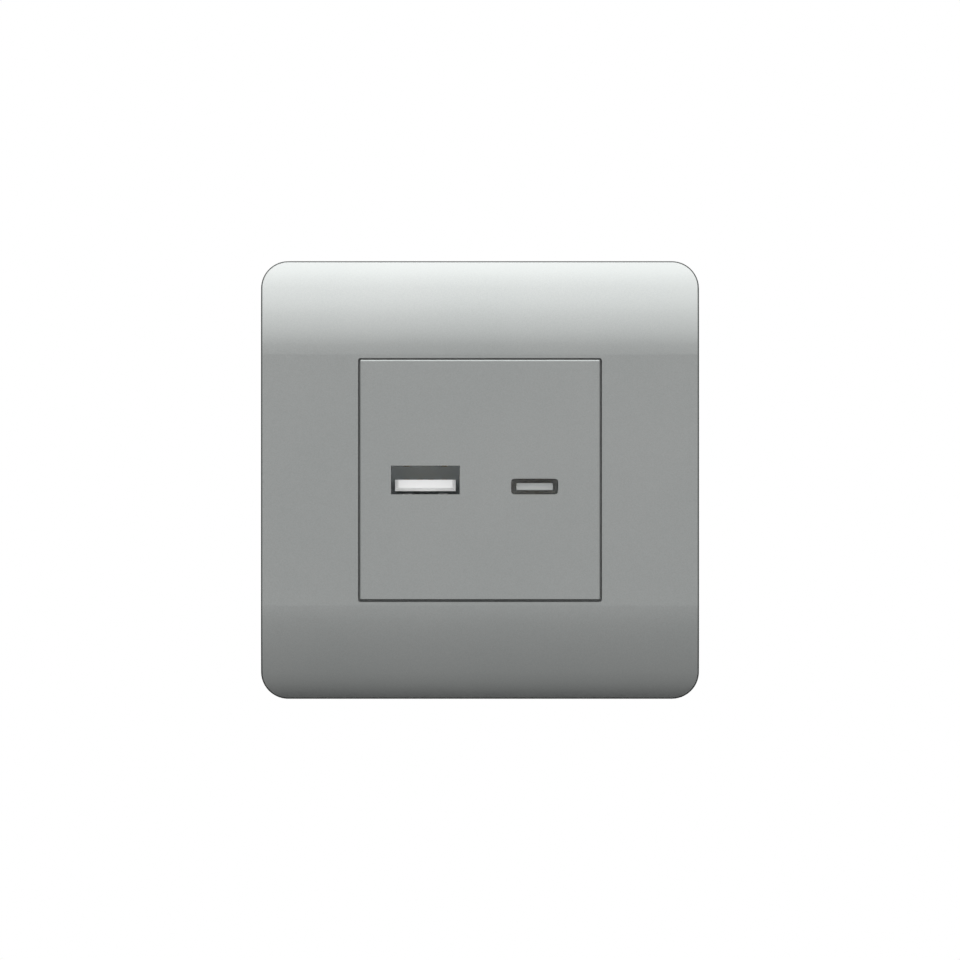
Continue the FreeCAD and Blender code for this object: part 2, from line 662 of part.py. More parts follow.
def shell_finger(x, z, side):
    """Spring finger of the shell, bent into the port with its lip turned out, and the slot cut round it."""
    tip = shell_mouth + SHELL_MOUTH
    root = tip + SHELL_FINGER_LENGTH
    wall = z + side * USB_A_HEIGHT / 2
    left = x - SHELL_FINGER_WIDTH / 2
    inner = [
        (left, root, wall),
        (left, tip + SHELL_FINGER_LIP, wall - side * SHELL_FINGER_BEND),
        (left, tip, wall + side * SHELL_FINGER_BEND),
    ]
    outer = [(left, y, face + side * SHELL_SHEET) for left, y, face in reversed(inner)]
    finger = extruded(inner + outer, (SHELL_FINGER_WIDTH, 0, 0))
    width = SHELL_FINGER_WIDTH + 2 * SHELL_FINGER_SLOT
    middle = wall + side * SHELL_SHEET / 2
    slot = slab(width, 2 * SHELL_SHEET, (tip - SHELL_FINGER_SLOT, root), x, middle)
    return finger, slot


def usb_a_shell():
    """Shell of the USB-A port with two spring fingers above and two below."""
    tube = shell_tube(port_a)
    fingers = []
    slots = []
    for x in (USB_A_X - SHELL_FINGER_AT, USB_A_X + SHELL_FINGER_AT):
        for side in (-1, 1):
            finger, slot = shell_finger(x, USB_A_Z, side)
            fingers.append(finger)
            slots.append(slot)
    return fused([tube.cut(slots)] + fingers + shell_legs(USB_A_WIDTH, USB_A_X, USB_A_Z))


def a_contact_path(number):
    """Place of one USB-A contact across the port, and the height of its underside."""
    underside = USB_A_Z + A_TONGUE_TOP - A_CHANNEL_DEPTH
    return USB_A_X + A_CONTACT_PLACES[number], underside


def usb_a_contact(number):
    """Gold-plated strip: solder tail, run along its channel in the tongue and a crown near the nose."""
    x, low = a_contact_path(number)
    left = x - A_CONTACT_WIDTH / 2
    front = shell_mouth + A_TONGUE_RECESS + A_NOSE
    tail = usb_board_back + LEAD_PAST_BOARD
    crown = low + A_CONTACT_CROWN
    under = [
        (left, tail, low),
        (left, front + 2 * A_CONTACT_RISE, low),
        (left, front + A_CONTACT_RISE, crown),
        (left, front, low),
    ]
    over = [(x0, y, z + A_CONTACT_SHEET) for x0, y, z in reversed(under)]
    return extruded(under + over, (A_CONTACT_WIDTH, 0, 0))


def usb_a_insulator():
    """White moulding: base that fills the shell, and the tongue with its channels and bevelled nose."""
    base_front = usb_board_front - A_BASE
    nose = shell_mouth + A_TONGUE_RECESS
    base = port_a(-INSULATOR_CLEARANCE, (base_front, usb_board_front))
    top = USB_A_Z + A_TONGUE_TOP
    tongue_z = (top - A_TONGUE_HEIGHT, top)
    tongue_x = (USB_A_X - A_TONGUE_WIDTH / 2, USB_A_X + A_TONGUE_WIDTH / 2)
    tongue = block(tongue_x, (nose, base_front + JOIN), tongue_z)
    rim = [e for e in edges_at_depth(tongue, nose) if e.CenterOfMass.z < top - JOIN]
    tongue = tongue.makeChamfer(A_NOSE_CHAMFER, rim)
    channels = []
    for number in range(len(A_CONTACT_PLACES)):
        x, low = a_contact_path(number)
        y = (nose + A_NOSE, base_front)
        strip = (low, low + A_CONTACT_SHEET)
        x_span = (x - A_CONTACT_WIDTH / 2, x + A_CONTACT_WIDTH / 2)
        channels.append(block(x_span, y, (low, top + PAST)))
        channels.append(block(x_span, (base_front - JOIN, usb_board_front + PAST), strip))
    return base.fuse(tongue).removeSplitter().cut(channels)


def usb_c_shell():
    """Shell of the USB-C port, a seamless drawn tube."""
    return fused([shell_tube(port_c)] + shell_legs(USB_C_WIDTH, USB_C_X, USB_C_Z))


def usb_c_contacts():
    """The two rows of USB-C contacts, on both faces of the tongue, from near its nose to its step."""
    nose = shell_mouth + C_TONGUE_RECESS
    step_front = usb_board_front - C_BASE - C_STEP_LENGTH
    strips = []
    for number in range(C_CONTACT_COUNT):
        x = USB_C_X + (number - (C_CONTACT_COUNT - 1) / 2) * C_CONTACT_PITCH
        for side in (-1, 1):
            z = USB_C_Z + side * (C_TONGUE_SHEET + C_CONTACT_SHEET) / 2
            y = (nose + C_CONTACT_SETBACK, step_front)
            strips.append(slab(C_CONTACT_WIDTH, C_CONTACT_SHEET, y, x, z))
    return Part.makeCompound(strips)


def usb_c_insulator():
    """Grey moulding: base, thicker step of the tongue, and the tongue with its nose before the contacts."""
    base_front = usb_board_front - C_BASE
    nose = shell_mouth + C_TONGUE_RECESS
    base = port_c(-INSULATOR_CLEARANCE, (base_front, usb_board_front))
    step_front = base_front - C_STEP_LENGTH
    step = slab(C_TONGUE_WIDTH, C_STEP_HEIGHT, (step_front, base_front + JOIN), USB_C_X, USB_C_Z)
    tongue = slab(C_TONGUE_WIDTH, C_TONGUE_SHEET, (nose, base_front + JOIN), USB_C_X, USB_C_Z)
    guard_y = (nose, nose + C_CONTACT_SETBACK)
    guard = slab(C_TONGUE_WIDTH, C_TONGUE_SHEET + 2 * C_CONTACT_SHEET, guard_y, USB_C_X, USB_C_Z)
    moulding = fused([base, step, tongue, guard])
    return moulding.cut(usb_c_mid_plate())


def usb_c_mid_plate():
    """Steel plate in the middle of the USB-C tongue, which stands out a little at its two sides."""
    y = (shell_mouth + C_TONGUE_RECESS + C_MID_SHORT, usb_board_front)
    return slab(C_TONGUE_WIDTH + 2 * C_MID_PROUD, C_MID_SHEET, y, USB_C_X, USB_C_Z)


def usb_board():
    """Board behind the ports, held between the corner posts by the two screws."""
    board = slab(board_side, board_side, (usb_board_front, usb_board_back))
    y = (usb_board_front - PAST, usb_board_back + PAST)
    holes = [rod(SCREW_RADIUS + SCREW_PASS, y, POST_AT * x, POST_AT * z) for x, z in SCREW_CORNERS]
    for x, z, width in ((USB_A_X, USB_A_Z, USB_A_WIDTH), (USB_C_X, USB_C_Z, USB_C_WIDTH)):
        for side in (-1, 1):
            leg_x = x + side * (width + SHELL_SHEET) / 2
            holes.append(slab(SHELL_SHEET + HOLE_FIT, SHELL_LEG_WIDTH + HOLE_FIT, y, leg_x, z))
    for number in range(len(A_CONTACT_PLACES)):
        x, low = a_contact_path(number)
        tail_z = low + A_CONTACT_SHEET / 2
        holes.append(slab(A_CONTACT_WIDTH + HOLE_FIT, A_CONTACT_SHEET + HOLE_FIT, y, x, tail_z))
    holes += [slab(LEAD_HOLE, LEAD_HOLE, y, x, HEADER_Z) for x in header_places()]
    return board.cut(holes)


def header_places():
    """X of each pin of the header."""
    return [(number - (HEADER_COUNT - 1) / 2) * HEADER_PITCH for number in range(HEADER_COUNT)]


def lead_places():
    """(x, z) of every lead that goes through the power board, apart from the terminals' legs."""
    places = [(x, HEADER_Z) for x in header_places()]
    for x, z in input_can_at:
        lead_z = input_lead_z(z)
        places += [(x - INPUT_LEAD_PITCH / 2, lead_z), (x + INPUT_LEAD_PITCH / 2, lead_z)]
    for x, z in output_can_at:
        places += [(x, z - OUTPUT_LEAD_PITCH / 2), (x, z + OUTPUT_LEAD_PITCH / 2)]
    for at in (FILM_BOX_AT, BRIDGING_AT):
        places += lead_pair(at, 0)
    for at in (FUSE_AT, VARISTOR_AT, INDUCTOR_CAN_AT):
        places += lead_pair(at, 1)
    places += bobbin_pin_places()
    return places


def lead_pair(at, axis):
    """Places of two leads about the middle of a part, side by side along X (0) or Z (1)."""
    half = PAIR_LEAD_PITCH / 2
    return [(at[0] + side * half * (1 - axis), at[1] + side * half * axis) for side in (-1, 1)]


def input_lead_z(z):
    """Height at which the leads of a lying can go through the board: just past its inner end."""
    side = -1 if z > 0 else 1
    return z + side * (INPUT_CAN_LENGTH / 2 + LEAD)


def bobbin_pin_places():
    """Three pins on each rail of the transformer's bobbin."""
    x, z = TRANSFORMER_AT
    reach = CORE_HALF_LENGTH - CORE_END / 2
    return [(x + step * BOBBIN_PIN_PITCH, z + side * reach) for side in (-1, 1) for step in (-1, 0, 1)]


def power_board():
    """Mains board, notched at its corners round the posts and drilled for every lead."""
    board = slab(board_side, board_side, (power_board_front, power_board_back))
    y = (power_board_front - PAST, power_board_back + PAST)
    notch = board_side / 2 - POST_AT + POST_SIDE / 2 + BOARD_CLEARANCE
    middle = (board_side - notch) / 2
    holes = [slab(notch + JOIN, notch + JOIN, y, middle * x, middle * z) for x, z in CORNERS]
    holes += [slab(LEAD_HOLE, LEAD_HOLE, y, x, z) for x, z in lead_places()]
    for x in (-TERMINAL_PITCH / 2, TERMINAL_PITCH / 2):
        leg_z = (leg_low + leg_high) / 2
        holes.append(slab(CONTACT_LEG_WIDTH + HOLE_FIT, CONTACT_BAR + HOLE_FIT, y, x, leg_z))
    return board.cut(holes)


def leads(places, front):
    """Straight leads from a depth in front of the power board to just past its back."""
    y = (front, power_board_back + LEAD_PAST_BOARD)
    return [slab(LEAD, LEAD, y, x, z) for x, z in places]


def terminal_chamber(x):
    """Space for one cage with its screw well, wire entry and contact, to cut out of the block."""
    chamber = block(
        (x - chamber_width / 2, x + chamber_width / 2),
        (chamber_floor, chamber_top),
        (chamber_low, chamber_high),
    )
    head_room = TERMINAL_HEAD_RADIUS + TERMINAL_CLEARANCE
    shank_room = TERMINAL_SCREW_RADIUS + TERMINAL_CLEARANCE
    well = rod(head_room, (head_front, terminal_back + PAST), x, TERMINAL_Z)
    shank_hole = rod(shank_room, (chamber_top - PAST, head_front + PAST), x, TERMINAL_Z)
    wire_y = (wire_low + wire_high) / 2
    entry_length = TERMINAL_FACE + 2 * JOIN
    down = Vector(0, 0, -1)
    entry = Part.makeCylinder(WIRE_RADIUS, entry_length, Vector(x, wire_y, chamber_low + JOIN), down)
    bar_width = CONTACT_WIDTH + 2 * TERMINAL_CLEARANCE
    bar_y = (wire_high - TERMINAL_CLEARANCE, bar_back + TERMINAL_CLEARANCE)
    half = bar_width / 2
    bar = block((x - half, x + half), bar_y, (chamber_high - JOIN, leg_high + TERMINAL_CLEARANCE))
    leg_half = CONTACT_LEG_WIDTH / 2 + TERMINAL_CLEARANCE
    leg_z = (leg_low - TERMINAL_CLEARANCE, leg_high + TERMINAL_CLEARANCE)
    leg = block((x - leg_half, x + leg_half), (power_board_back - PAST, bar_back), leg_z)
    return [chamber, well, shank_hole, entry, bar, leg]


def terminal_block():
    """Two-pole moulding on the back of the power board, open for screwdrivers behind and wires below."""
    half = terminal_width / 2
    body = block((-half, half), (power_board_back, terminal_back), (terminal_low, terminal_high))
    long_edges = [e for e in edges_at_depth(body, terminal_back) if e.Length > terminal_width - 1e-6]
    body = body.makeChamfer(TERMINAL_BEVEL, long_edges)
    groove_x = (-TERMINAL_GROOVE / 2, TERMINAL_GROOVE / 2)
    behind = terminal_back + PAST
    below = terminal_low - PAST
    cuts = [
        block(groove_x, (terminal_back - TERMINAL_GROOVE, behind), (below, terminal_high + PAST)),
        block(groove_x, (housing_back, behind), (below, terminal_low + TERMINAL_GROOVE)),
    ]
    for x in (-TERMINAL_PITCH / 2, TERMINAL_PITCH / 2):
        cuts += terminal_chamber(x)
    return body.cut(cuts)


def terminal_cage(x):
    """Rising cage: a loop round the contact bar, threaded in its top for the screw."""
    z = (TERMINAL_Z - CAGE_LENGTH / 2, TERMINAL_Z + CAGE_LENGTH / 2)
    half = cage_width / 2
    loop = block((x - half, x + half), (cage_bottom, cage_top), z)
    opening = block(
        (x - half + CAGE_WALL, x + half - CAGE_WALL),
        (wire_low, cage_window_top),
        (z[0] - PAST, z[1] + PAST),
    )
    thread = rod(
        TERMINAL_SCREW_RADIUS + TERMINAL_SCREW_RUNNING,
        (cage_window_top - PAST, cage_top + PAST),
        x,
        TERMINAL_Z,
    )
    return loop.cut([opening, thread])


def terminal_contact(x):
    """Tinned strip: the bar that the wire is clamped against, and its leg through the board."""
    z = (TERMINAL_Z - CAGE_LENGTH / 2, leg_high)
    bar = block((x - CONTACT_WIDTH / 2, x + CONTACT_WIDTH / 2), (wire_high, bar_back), z)
    leg_y = (power_board_front - LEAD_PAST_BOARD, bar_back)
    leg = block((x - CONTACT_LEG_WIDTH / 2, x + CONTACT_LEG_WIDTH / 2), leg_y, (leg_low, leg_high))
    return fused([bar, leg])


def terminal_screw(x):
    """Slotted screw that lifts a cage: it turns in its place, with its tip just clear of the bar."""
    shank = rod(TERMINAL_SCREW_RADIUS, (bar_back + CONTACT_AIR, head_front), x, TERMINAL_Z)
    head = rod(TERMINAL_HEAD_RADIUS, (head_front, head_back), x, TERMINAL_Z)
    groove_y = (head_back - TERMINAL_SLOT_DEPTH, head_back + PAST)
    groove = slab(2 * TERMINAL_HEAD_RADIUS + PAST, TERMINAL_SLOT_WIDTH, groove_y, x, TERMINAL_Z)
    return head.fuse(shank).cut(groove)


def transformer_middle():
    """Depth of the transformer's winding axis."""
    return power_board_front - BOBBIN_FIT - transformer_height / 2


def core_half(side):
    """E-shaped ferrite half: its end, its centre limb and its two outer limbs."""
    x, z = TRANSFORMER_AT
    middle = transformer_middle()
    y = (middle - CORE_SHEET / 2, middle + CORE_SHEET / 2)
    joint = z
    outer = z + side * CORE_HALF_LENGTH
    inner_end = z + side * (CORE_HALF_LENGTH - CORE_END)
    limbs = (
        (x - CORE_WIDTH / 2, x - CORE_WIDTH / 2 + core_limb),
        (x - core_centre_limb / 2, x + core_centre_limb / 2),
        (x + CORE_WIDTH / 2 - core_limb, x + CORE_WIDTH / 2),
    )
    end = block((limbs[0][0], limbs[2][1]), y, (min(inner_end, outer), max(inner_end, outer)))
    pieces = [end]
    for span in limbs:
        pieces.append(block(span, y, (min(joint, outer), max(joint, outer))))
    return fused(pieces)


def bobbin_tube(wall, z_half):
    """Rectangular tube about the winding axis, grown by a wall outside the centre limb."""
    x, z = TRANSFORMER_AT
    middle = transformer_middle()
    reach_x = core_centre_limb / 2 + BOBBIN_FIT + wall
    reach_y = CORE_SHEET / 2 + BOBBIN_FIT + wall
    return block((x - reach_x, x + reach_x), (middle - reach_y, middle + reach_y), (z - z_half, z + z_half))


def transformer_bobbin():
    """Moulded bobbin: tube, two flanges and two rails of pins under the ends of the core."""
    x, z = TRANSFORMER_AT
    window_half = CORE_HALF_LENGTH - CORE_END - BOBBIN_FIT
    tube = bobbin_tube(BOBBIN_WALL, window_half)
    flange_half = CORE_WIDTH / 2 - core_limb - BOBBIN_FIT
    rail_half = CORE_WIDTH / 2 - BOBBIN_FLANGE
    pieces = [tube]
    middle = transformer_middle()
    flange_y = (middle - transformer_height / 2, power_board_front)
    rail_y = (middle + CORE_SHEET / 2 + BOBBIN_FIT, power_board_front)
    for side in (-1, 1):
        outer = z + side * window_half
        inner = outer - side * BOBBIN_FLANGE
        span = (min(inner, outer), max(inner, outer))
        pieces.append(block((x - flange_half, x + flange_half), flange_y, span))
        end = z + side * CORE_HALF_LENGTH
        rail = (min(inner, end), max(inner, end))
        pieces.append(block((x - rail_half, x + rail_half), rail_y, rail))
    pieces += leads(bobbin_pin_places(), power_board_front - JOIN)
    limb = bobbin_tube(0, CORE_HALF_LENGTH + PAST)
    return fused(pieces).cut(limb)


def transformer_winding():
    """Winding between the flanges, wrapped in tape, with rounded edges along its axis."""
    z_half = CORE_HALF_LENGTH - CORE_END - BOBBIN_FIT - BOBBIN_FLANGE
    coil = bobbin_tube(BOBBIN_WALL + winding_build - BOBBIN_FIT, z_half)
    along = [e for e in coil.Edges if abs(e.Vertexes[0].Z - e.Vertexes[-1].Z) > 1e-6]
    return coil.makeFillet(WINDING_ROUND, along).cut(bobbin_tube(BOBBIN_WALL, z_half + PAST))


def input_capacitor(x, z):
    """Mains capacitor lying on the board, its sealed end and bent leads towards the middle."""
    side = -1 if z > 0 else 1
    axis_y = power_board_front - INPUT_CAN_RADIUS - BOBBIN_FIT
    sealed_end = Vector(x, axis_y, z + side * INPUT_CAN_LENGTH / 2)
    solids = [Part.makeCylinder(INPUT_CAN_RADIUS, INPUT_CAN_LENGTH, sealed_end, Vector(0, 0, -side))]
    lead_z = input_lead_z(z)
    for lead_x in (x - INPUT_LEAD_PITCH / 2, x + INPUT_LEAD_PITCH / 2):
        solids += leads([(lead_x, lead_z)], axis_y - LEAD / 2)
        end = z + side * (INPUT_CAN_LENGTH / 2 - LEAD)
        span = (min(end, lead_z - side * LEAD / 2), max(end, lead_z + side * LEAD / 2))
        lead_y = (axis_y - LEAD / 2, axis_y + LEAD / 2)
        solids.append(block((lead_x - LEAD / 2, lead_x + LEAD / 2), lead_y, span))
    return fused(solids)


def output_capacitor(x, z):
    """Polymer capacitor standing on the board."""
    can = rod(OUTPUT_CAN_RADIUS, (power_board_front - OUTPUT_CAN_HEIGHT, power_board_front), x, z)
    places = [(x, z - OUTPUT_LEAD_PITCH / 2), (x, z + OUTPUT_LEAD_PITCH / 2)]
    return fused([can] + leads(places, power_board_front - JOIN))


def chamfered_box(at, size, face, chamfer):
    """Box that stands in front of a board, with its upright edges chamfered."""
    body = slab(size[0], size[1], (face - size[2], face), at[0], at[1])
    upright = [e for e in body.Edges if abs(e.Vertexes[0].Y - e.Vertexes[-1].Y) > 1e-6]
    return body.makeChamfer(chamfer, upright)


def boxed_part(at, size):
    """Moulded box with two leads under its long side, such as the film capacitor or the fuse."""
    body = chamfered_box(at, size, power_board_front, BOX_CHAMFER)
    axis = 0 if size[0] > size[1] else 1
    return fused([body] + leads(lead_pair(at, axis), power_board_front - JOIN))


def disc_part(at, radius, sheet, axis):
    """Dipped disc standing on its two leads, such as the varistor. It stands along X (0) or Z (1)."""
    middle = power_board_front - radius - DISC_LIFT
    through = Vector(axis, 0, 1 - axis)
    disc = Part.makeCylinder(radius, sheet, Vector(at[0], middle, at[1]) - through * (sheet / 2), through)
    return fused([disc] + leads(lead_pair(at, axis), middle))


def filter_inductor():
    """Inductor on a drum core, sealed in a sleeve, standing on the board."""
    x, z = INDUCTOR_CAN_AT
    body = rod(INDUCTOR_CAN_RADIUS, (power_board_front - INDUCTOR_CAN_HEIGHT, power_board_front), x, z)
    return fused([body] + leads(lead_pair(INDUCTOR_CAN_AT, 1), power_board_front - JOIN))


def chip(at, face, size, leg_count, leg_pitch):
    """Flat chip on the front face of a board, with a row of legs on each of its two sides along Z."""
    x, z = at
    pieces = [slab(size[0], size[1], (face - size[2], face - CHIP_LEG_SHEET / 2), x, z)]
    for number in range(leg_count):
        leg_z = z + (number - (leg_count - 1) / 2) * leg_pitch
        for side in (-1, 1):
            edge = x + side * size[0] / 2
            foot = edge + side * CHIP_LEG_REACH
            span = (min(edge, foot), max(edge, foot))
            z_span = (leg_z - CHIP_LEG / 2, leg_z + CHIP_LEG / 2)
            pieces.append(block(span, (face - CHIP_LEG_SHEET, face), z_span))
    return fused(pieces)


def port_inductor():
    """Moulded power inductor on the front of the port board."""
    return chamfered_box(INDUCTOR_AT, INDUCTOR_BOX, usb_board_front, INDUCTOR_CORNER)


def header_strip():
    """Plastic strip that holds the pins between the two boards."""
    length = HEADER_COUNT * HEADER_PITCH
    y = (usb_board_back, usb_board_back + HEADER_STRIP)
    strip = slab(length, HEADER_STRIP, y, 0, HEADER_Z)
    through = (y[0] - PAST, y[1] + PAST)
    return strip.cut([slab(HEADER_PIN, HEADER_PIN, through, x, HEADER_Z) for x in header_places()])


def header_pins():
    """Square pins that join the two boards."""
    y = (usb_board_front - LEAD_PAST_BOARD, power_board_back + LEAD_PAST_BOARD)
    return Part.makeCompound([slab(HEADER_PIN, HEADER_PIN, y, x, HEADER_Z) for x in header_places()])


def board_spacer(x, z):
    """Nylon pillar between the two boards."""
    return slab(SPACER_SIDE, SPACER_SIDE, (usb_board_back, power_board_front), x, z)


def all_parts():
    """Every piece of the socket by the name of its node."""
    parts = {
        "cover_plate": cover_plate(),
        "support_frame": support_frame(),
        "front_cover": front_cover(),
        "rear_housing": rear_housing(),
        "usb_board": usb_board(),
        "power_board": power_board(),
        "header_strip": header_strip(),
        "header_pins": header_pins(),
        "usb_a_shell": usb_a_shell(),
        "usb_a_insulator": usb_a_insulator(),
        "usb_c_shell": usb_c_shell(),
        "usb_c_insulator": usb_c_insulator(),
        "usb_c_mid_plate": usb_c_mid_plate(),
        "usb_c_contacts": usb_c_contacts(),
        "terminal_block": terminal_block(),
        "transformer_core_1": core_half(1),
        "transformer_core_2": core_half(-1),
        "transformer_bobbin": transformer_bobbin(),
        "transformer_winding": transformer_winding(),
        "suppression_capacitor": boxed_part(FILM_BOX_AT, FILM_BOX),
        "fuse": boxed_part(FUSE_AT, FUSE_BOX),
        "varistor": disc_part(VARISTOR_AT, VARISTOR_RADIUS, VARISTOR_SHEET, 1),
        "bridging_capacitor": disc_part(BRIDGING_AT, BRIDGING_RADIUS, BRIDGING_SHEET, 0),
        "filter_inductor": filter_inductor(),
        "bridge_rectifier": chip(RECTIFIER_AT, power_board_front, RECTIFIER_BOX, 2, PAIR_LEG_PITCH),
        "optocoupler": chip(OPTO_AT, power_board_front, OPTO_BOX, 2, PAIR_LEG_PITCH),
        "port_inductor": port_inductor(),
    }
    for name, at, face in (
        ("mains_controller_chip", MAINS_CHIP_AT, power_board_front),
        ("output_rectifier_chip", OUTPUT_CHIP_AT, power_board_front),
        ("port_controller_chip", PORT_CHIP_AT, usb_board_front),
    ):
        parts[name] = chip(at, face, CHIP_BOX, CHIP_LEGS, CHIP_LEG_PITCH)
    for number in range(len(A_CONTACT_PLACES)):
        parts[f"usb_a_contact_{number + 1}"] = usb_a_contact(number)
    for name, x in (("line", -TERMINAL_PITCH / 2), ("neutral", TERMINAL_PITCH / 2)):
        parts[f"{name}_terminal_cage"] = terminal_cage(x)
        parts[f"{name}_terminal_screw"] = terminal_screw(x)
        parts[f"{name}_terminal_contact"] = terminal_contact(x)
    for number, (x, z) in enumerate(input_can_at, 1):
        parts[f"input_capacitor_{number}"] = input_capacitor(x, z)
    for number, (x, z) in enumerate(output_can_at, 1):
        parts[f"output_capacitor_{number}"] = output_capacitor(x, z)
    for number, (x, z) in enumerate(spacer_at, 1):
        parts[f"board_spacer_{number}"] = board_spacer(x, z)
    return parts


os.makedirs("parts", exist_ok=True)
for node, solid in all_parts().items():
    solid.exportStep(f"parts/{node}.step")
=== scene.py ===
"""Looks of a flush USB wall socket, round the CAD parts of its frame."""

import json
import math

import bmesh
import bpy
from mathutils import Matrix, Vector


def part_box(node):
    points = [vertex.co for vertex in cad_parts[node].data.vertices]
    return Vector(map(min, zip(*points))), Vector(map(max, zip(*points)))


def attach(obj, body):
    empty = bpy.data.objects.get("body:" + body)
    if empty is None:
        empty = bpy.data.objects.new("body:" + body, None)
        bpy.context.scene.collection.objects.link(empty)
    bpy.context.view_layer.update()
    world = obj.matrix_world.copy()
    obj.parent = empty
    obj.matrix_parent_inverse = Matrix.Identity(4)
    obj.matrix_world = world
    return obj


MM = 0.001

# Poles of the terminal block, and the letter that stands by each
POLES = {"line": "L", "neutral": "N"}

# Depth of the base that each port's tongue stands on, in mm
A_BASE_DEPTH = 2.6
C_BASE_DEPTH = 4.2

# Depth to which a terminal screw's head is left bright, with painted shade below it, in mm from the top of
# its head
UNSHADED_DEPTH = 0.2

# Closing screws, M2.2 by 16: two wells of the rear housing have them, across from each other. In mm.
SCREW_PLACE = 17.2  # to the side of the module's middle, and above or below it
SCREW_SHOULDER = 9.0  # Y of the shoulder that the head bears on
SCREW_LENGTH = 16.2
SCREW_CREST_RADIUS = 1.1
SCREW_ROOT_RADIUS = 0.82
SCREW_PITCH = 0.8
SCREW_POINT = 1.6  # length of the tapered end
SCREW_HEAD_RADIUS = 1.9
SCREW_HEAD_HEIGHT = 1.3
SCREW_SIDES = 24
RINGS_PER_TURN = 6

# Pan head from its top down to the shoulder, as shares of its height and of its radius
HEAD_PROFILE = ((1.0, 0.6), (0.92, 0.8), (0.6, 0.96), (0.3, 1.0), (0.0, 0.98))

# Cutter of the cross recess: two crossed wedges, as high above the head as they go into it. In mm.
RECESS_REACH = 1.25  # from the middle to the end of a wing, at its top
RECESS_WIDTH = 0.95  # of a wing at its top
RECESS_DEPTH = 0.8
RECESS_NARROWING = 0.05  # width at the bottom, as a share of the width at the top
RECESS_SHORTENING = 0.35  # reach at the bottom, as a share of the reach at the top

# Marks of the two poles on the back of the housing, in mm
MARK_HEIGHT = 3.0
MARK_RELIEF = 0.2
MARK_SUNK = 0.05
MARK_ROUNDING = 0.03
MARK_GAP = 1.2  # lower edge of a mark to the terminal block
CAPITAL_SHARE = 0.7  # height of a capital, as a share of its font's size

# Camera: the photograph looks straight at the plate from far off. In mm.
LENS = 900.0
SENSOR = 36.0
SEEN_WIDTH = 177.5  # across the picture, at the plate's edges
EDGE_PLANE = -9.0  # Y of the plate's edges

# Stage, in metres: a pale floor well below, as the photograph shows the plate in the air with no shadow,
# and a black card on it that only reflections show. The card gives the lower bow its dark foot: painted
# shade in the reflection, in place of shade on the floor under the plate.
FLOOR_SIZE = (4.0, 4.0)
FLOOR_PLACE = (0, -1.1, -0.17)
CARD_SIZE = (1.0, 0.3)
CARD_PLACE = (0, 0.083, -0.169)

# Softboxes, in metres
SOFTBOX_WIDTH = 2.4
SOFTBOX_DISTANCE = 1.6

# Sockets of the Mix node for colours
FACTOR = 0
FIRST = 6
SECOND = 7
RESULT = 2


def linear(code):
    """sRGB hex colour as linear red, green and blue with full alpha."""
    channels = [int(code[start : start + 2], 16) / 255 for start in (1, 3, 5)]
    turned = [c / 12.92 if c <= 0.04045 else ((c + 0.055) / 1.055) ** 2.4 for c in channels]
    return (*turned, 1.0)


def add(tree, kind, inputs=None, **settings):
    """Adds a node: settings are its own properties, and inputs are values or other nodes' outputs."""
    node = tree.nodes.new("ShaderNode" + kind)
    for name, value in settings.items():
        setattr(node, name, value)
    for name, value in (inputs or {}).items():
        if isinstance(value, bpy.types.NodeSocket):
            tree.links.new(value, node.inputs[name])
        else:
            node.inputs[name].default_value = value
    return node


def new_material(name):
    """Empty material, its nodes, and the position in metres that its patterns are drawn from."""
    material = bpy.data.materials.new(name)
    material.use_nodes = True
    tree = material.node_tree
    tree.nodes.clear()
    place = add(tree, "TexCoord").outputs["Object"]
    return material, tree, place


def surface(
    name, tone, shade, roughness, cloud, grain, depth, metallic=0.0, stretch=(1, 1, 1), painted_depth_shading=None
):
    """Solid finish: two tones in clouds of one size, and a grain of another size and depth, all in mm.

    A stretch below 1 on an axis draws both patterns out along it, as drawing and rolling do to metal.
    A painted shading by depth is the Y, in metres, from which another colour is painted on, and that
    colour:
    painted shade where it is darker, painted light where it is lighter.
    """
    gloss_spread = 0.05
    painted_shading_blend = 0.02 * MM
    material, tree, place = new_material(name)
    drawn = add(tree, "Mapping", {"Vector": place, "Scale": stretch}).outputs["Vector"]
    clouds = add(tree, "TexNoise", {"Vector": drawn, "Scale": 1 / (cloud * MM), "Detail": 3.0})
    grains = add(tree, "TexNoise", {"Vector": drawn, "Scale": 1 / (grain * MM), "Detail": 2.0})
    tones = {FACTOR: clouds.outputs["Fac"], FIRST: linear(shade), SECOND: linear(tone)}
    colour = add(tree, "Mix", tones, data_type="RGBA").outputs[RESULT]
    # Painted light and shade by depth: past a Y another colour is painted on, darker as painted shade,
    # lighter as painted light
    if painted_depth_shading:
        start, painted_tone = painted_depth_shading
        inward = add(tree, "SeparateXYZ", {"Vector": place}).outputs["Y"]
        painted_depth_range = {"Value": inward, "From Min": start - painted_shading_blend, "From Max": start}
        painted_depth_mask = add(tree, "MapRange", painted_depth_range).outputs["Result"]
        painted_tones = {FACTOR: painted_depth_mask, FIRST: colour, SECOND: linear(painted_tone)}
        colour = add(tree, "Mix", painted_tones, data_type="RGBA").outputs[RESULT]
    spread = {
        "Value": grains.outputs["Fac"],
        "To Min": roughness - gloss_spread,
        "To Max": roughness + gloss_spread,
    }
    gloss = add(tree, "MapRange", spread).outputs["Result"]
    grained = {"Height": grains.outputs["Fac"], "Distance": depth * MM}
    relief = add(tree, "Bump", grained).outputs["Normal"]
    look = {"Base Color": colour, "Metallic": metallic, "Roughness": gloss, "Normal": relief}
    shader = add(tree, "BsdfPrincipled", look).outputs["BSDF"]
    add(tree, "OutputMaterial", {"Surface": shader})
    return material


